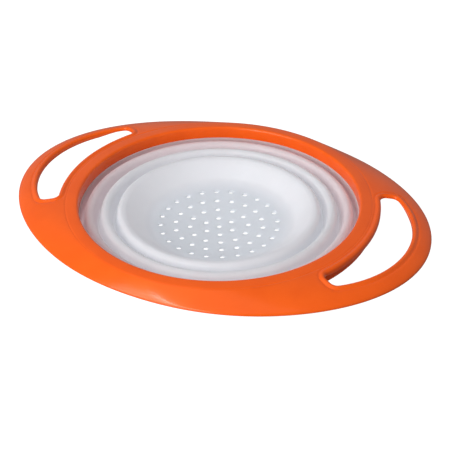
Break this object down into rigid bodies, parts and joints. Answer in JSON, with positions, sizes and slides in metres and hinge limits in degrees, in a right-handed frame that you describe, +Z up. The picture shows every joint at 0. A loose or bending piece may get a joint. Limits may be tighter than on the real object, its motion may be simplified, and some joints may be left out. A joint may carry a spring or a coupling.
{
  "type": "folding colander",
  "caption": "Folding silicone colander: oval rigid frame with hand slots, and a perforated bowl that folds flat in concentric rings.",
  "frame": {"origin": "centre of the foot ring on the table, with the bowl folded flat", "axes": "+Z up, +X from the bowl's centre to one hand slot, Y across the short side of the oval"},
  "size_m": [0.3726, 0.2858, 0.0376],
  "materials": {
    "orange_plastic": "satin moulded polypropylene",
    "clamp_plastic": "matt moulded polypropylene",
    "milky_silicone": "translucent satin silicone",
    "web_silicone": "translucent satin silicone, thinner and more flexible"
  },
  "bodies": {
    "cup": {"strainer_cup": "milky_silicone", "inner_web": "web_silicone"},
    "inner_ring": {"inner_band": "milky_silicone", "middle_web": "web_silicone"},
    "outer_ring": {"outer_band": "milky_silicone", "outer_web": "web_silicone"},
    "frame": {"handle_frame": "orange_plastic", "retaining_ring": "clamp_plastic", "bowl_rim": "milky_silicone"}
  },
  "joints": [
    {"name": "inner_fold", "type": "slide", "parent": "cup", "child": "inner_ring", "axis": [0, 0, 1], "range_m": [0, 0.024], "deforming": ["inner_web"]},
    {"name": "middle_fold", "type": "slide", "parent": "inner_ring", "child": "outer_ring", "axis": [0, 0, 1], "range_m": [0, 0.024], "deforming": ["middle_web"]},
    {"name": "outer_fold", "type": "slide", "parent": "outer_ring", "child": "frame", "axis": [0, 0, 1], "range_m": [0, 0.024], "deforming": ["outer_web"]}
  ]
}
